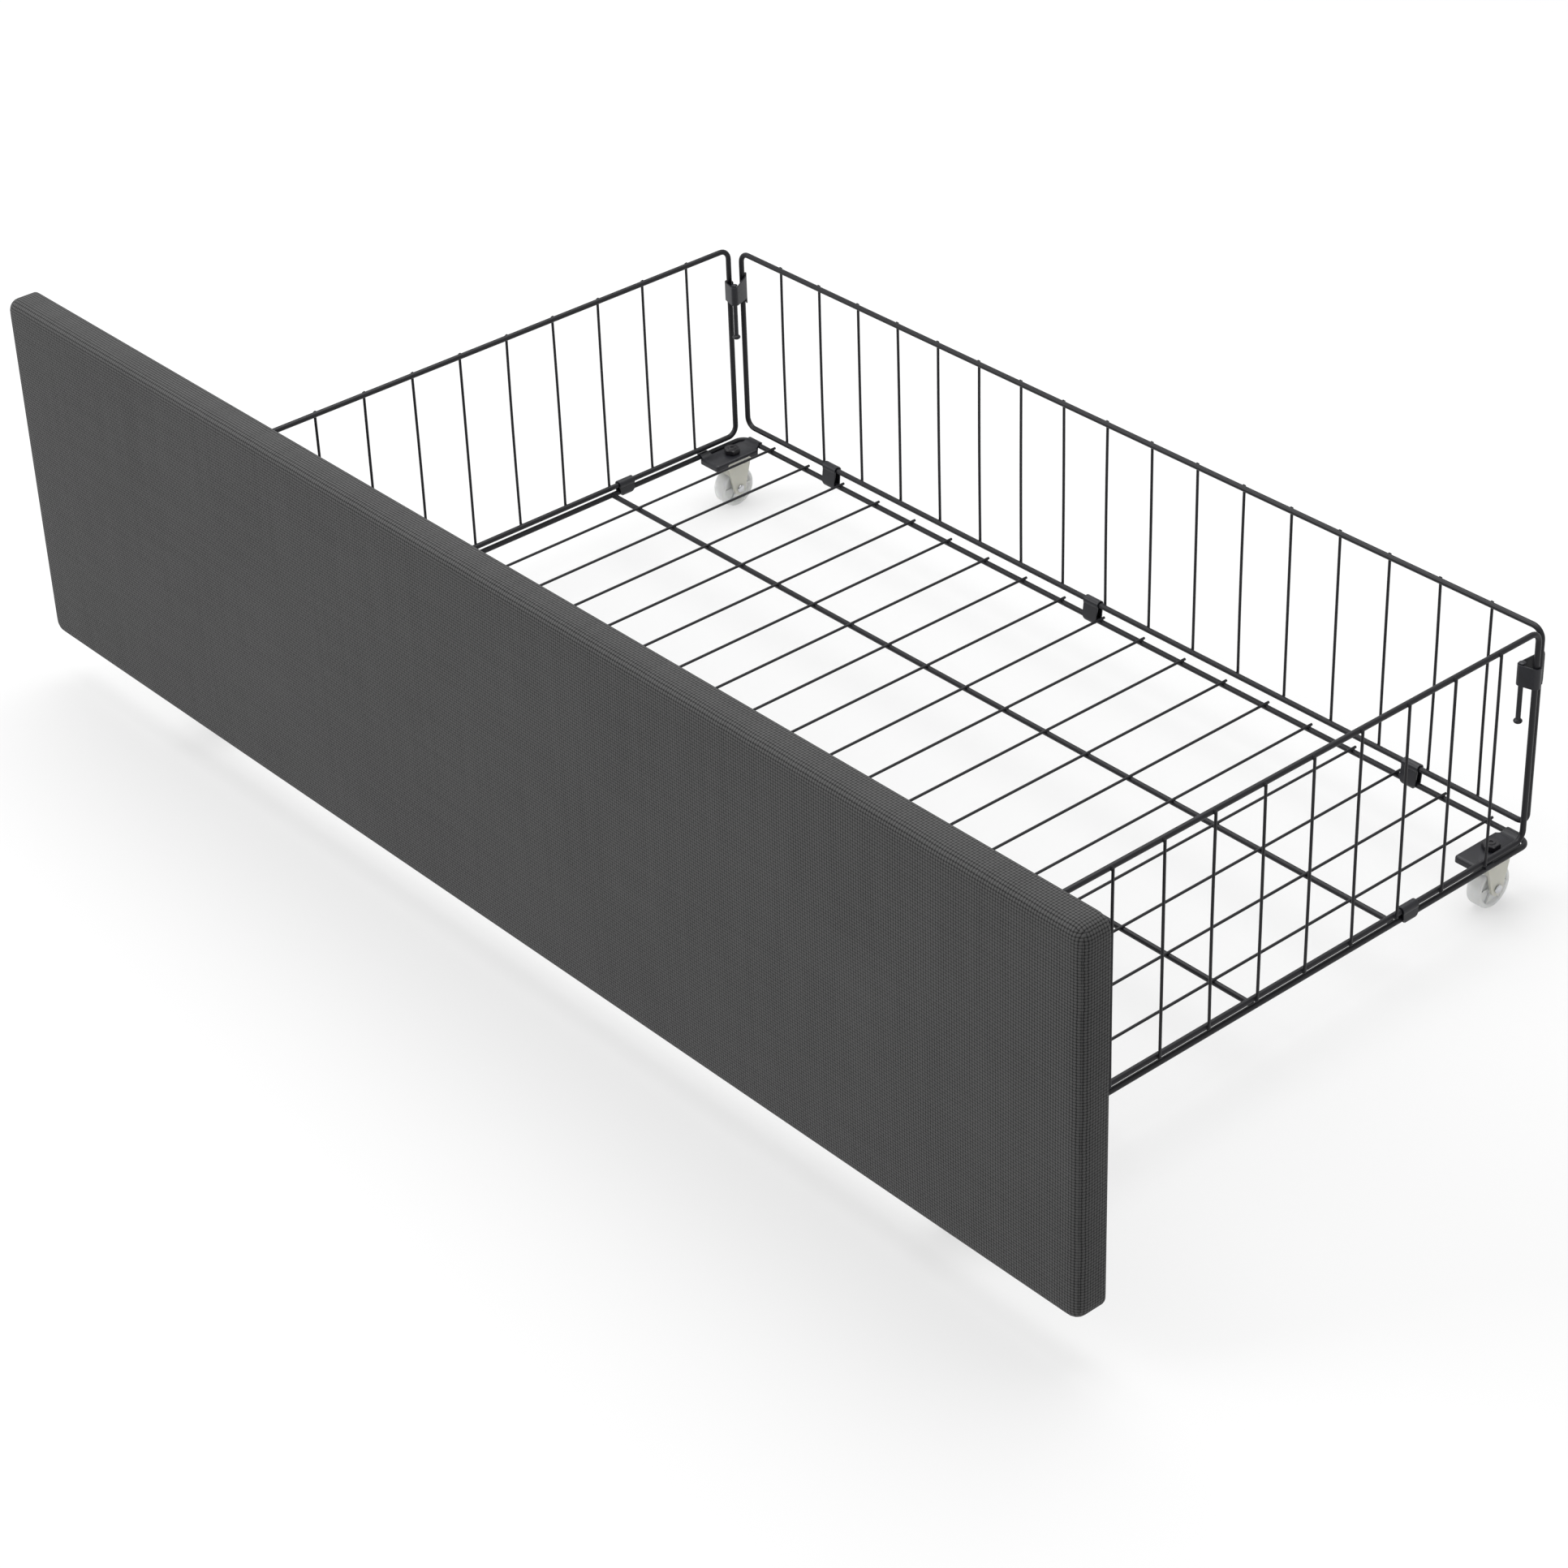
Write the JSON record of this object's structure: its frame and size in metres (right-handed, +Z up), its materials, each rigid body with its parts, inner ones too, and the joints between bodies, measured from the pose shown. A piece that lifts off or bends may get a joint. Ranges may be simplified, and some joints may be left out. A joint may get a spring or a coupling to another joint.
{
  "type": "under-bed drawer",
  "caption": "Roll-out under-bed drawer: an upholstered front board on a folding wire basket that rides on small rigid casters.",
  "frame": {"origin": "on the floor under the middle of the overall box", "axes": "+X along the front board, -Y out of the board's front, +Z up"},
  "size_m": [0.939, 0.489, 0.2709],
  "materials": {
    "wire": "satin black powder coat",
    "clip_steel": "black electro-coated pressed steel",
    "black_fixing": "black oxide",
    "bare_steel": "zinc-plated",
    "nylon": "natural translucent nylon",
    "upholstery": "charcoal basket-weave polyester",
    "foam": "open-cell foam",
    "fibreboard": "raw fibreboard",
    "lining": "black non-woven dust cloth"
  },
  "bodies": {
    "base": {"base_grid": "wire", "front_panel": "wire", "hinge_clip_back_1": "clip_steel", "hinge_clip_back_2": "clip_steel", "hinge_clip_back_3": "clip_steel", "hinge_clip_front_1": "clip_steel", "hinge_clip_front_2": "clip_steel", "hinge_clip_front_3": "clip_steel", "hinge_clip_left_1": "clip_steel", "hinge_clip_left_2": "clip_steel", "hinge_clip_right_1": "clip_steel", "hinge_clip_right_2": "clip_steel", "caster_plate_rear_left": "clip_steel", "caster_plate_rear_right": "clip_steel", "caster_plate_front_left": "clip_steel", "caster_plate_front_right": "clip_steel", "caster_fork_rear_left": "nylon", "caster_fork_rear_right": "nylon", "caster_fork_front_left": "nylon", "caster_fork_front_right": "nylon", "caster_bolt_rear_left": "black_fixing", "caster_bolt_rear_right": "black_fixing", "caster_bolt_front_left": "black_fixing", "caster_bolt_front_right": "black_fixing", "caster_nut_rear_left": "black_fixing", "caster_nut_rear_right": "black_fixing", "caster_nut_front_left": "black_fixing", "caster_nut_front_right": "black_fixing", "caster_axle_rear_left": "bare_steel", "caster_axle_rear_right": "bare_steel", "caster_axle_front_left": "bare_steel", "caster_axle_front_right": "bare_steel", "front_board_cover": "upholstery", "front_board_core": "fibreboard", "front_board_foam": "foam", "front_board_lining": "lining", "board_strap_1": "clip_steel", "board_strap_2": "clip_steel", "board_strap_3": "clip_steel", "board_strap_4": "clip_steel", "board_screw_1": "bare_steel", "board_screw_2": "bare_steel", "board_screw_3": "bare_steel", "board_screw_4": "bare_steel"},
    "left_side": {"left_panel": "wire"},
    "right_side": {"right_panel": "wire"},
    "back_side": {"back_panel": "wire"},
    "latch_rear_left": {"latch_rear_left": "clip_steel", "latch_pin_rear_left": "clip_steel"},
    "latch_rear_right": {"latch_rear_right": "clip_steel", "latch_pin_rear_right": "clip_steel"},
    "latch_front_left": {"latch_front_left": "clip_steel", "latch_pin_front_left": "clip_steel"},
    "latch_front_right": {"latch_front_right": "clip_steel", "latch_pin_front_right": "clip_steel"},
    "wheel_rear_left": {"caster_wheel_rear_left": "nylon"},
    "wheel_rear_right": {"caster_wheel_rear_right": "nylon"},
    "wheel_front_left": {"caster_wheel_front_left": "nylon"},
    "wheel_front_right": {"caster_wheel_front_right": "nylon"}
  },
  "joints": [
    {"name": "left_fold", "type": "hinge", "parent": "base", "child": "left_side", "pos_m": [-0.3495, 0.01085, 0.044], "axis": [0, 1, 0], "range_deg": [0, 90]},
    {"name": "right_fold", "type": "hinge", "parent": "base", "child": "right_side", "pos_m": [0.3495, 0.01085, 0.044], "axis": [0, -1, 0], "range_deg": [0, 90]},
    {"name": "back_fold", "type": "hinge", "parent": "base", "child": "back_side", "pos_m": [0, 0.24135, 0.0494], "axis": [1, 0, 0], "range_deg": [0, 90]},
    {"name": "latch_rear_left_turn", "type": "hinge", "parent": "left_side", "child": "latch_rear_left", "pos_m": [-0.3495, 0.23335, 0.1467], "axis": [0, 0, -1], "range_deg": [0, 90]},
    {"name": "latch_rear_right_turn", "type": "hinge", "parent": "right_side", "child": "latch_rear_right", "pos_m": [0.3495, 0.23335, 0.1467], "axis": [0, 0, 1], "range_deg": [0, 90]},
    {"name": "latch_front_left_turn", "type": "hinge", "parent": "left_side", "child": "latch_front_left", "pos_m": [-0.3495, -0.21165, 0.1467], "axis": [0, 0, 1], "range_deg": [0, 90]},
    {"name": "latch_front_right_turn", "type": "hinge", "parent": "right_side", "child": "latch_front_right", "pos_m": [0.3495, -0.21165, 0.1467], "axis": [0, 0, -1], "range_deg": [0, 90]},
    {"name": "wheel_rear_left_spin", "type": "hinge", "parent": "base", "child": "wheel_rear_left", "pos_m": [-0.3379, 0.21985, 0.014], "axis": [1, 0, 0], "continuous": true},
    {"name": "wheel_rear_right_spin", "type": "hinge", "parent": "base", "child": "wheel_rear_right", "pos_m": [0.3379, 0.21985, 0.014], "axis": [1, 0, 0], "continuous": true},
    {"name": "wheel_front_left_spin", "type": "hinge", "parent": "base", "child": "wheel_front_left", "pos_m": [-0.3379, -0.19815, 0.014], "axis": [1, 0, 0], "continuous": true},
    {"name": "wheel_front_right_spin", "type": "hinge", "parent": "base", "child": "wheel_front_right", "pos_m": [0.3379, -0.19815, 0.014], "axis": [1, 0, 0], "continuous": true}
  ],
  "couplings": [
    {"joint": "latch_rear_left_turn", "follows": "left_fold", "ratio": 1},
    {"joint": "latch_rear_right_turn", "follows": "right_fold", "ratio": 1},
    {"joint": "latch_front_left_turn", "follows": "left_fold", "ratio": 1},
    {"joint": "latch_front_right_turn", "follows": "right_fold", "ratio": 1}
  ]
}
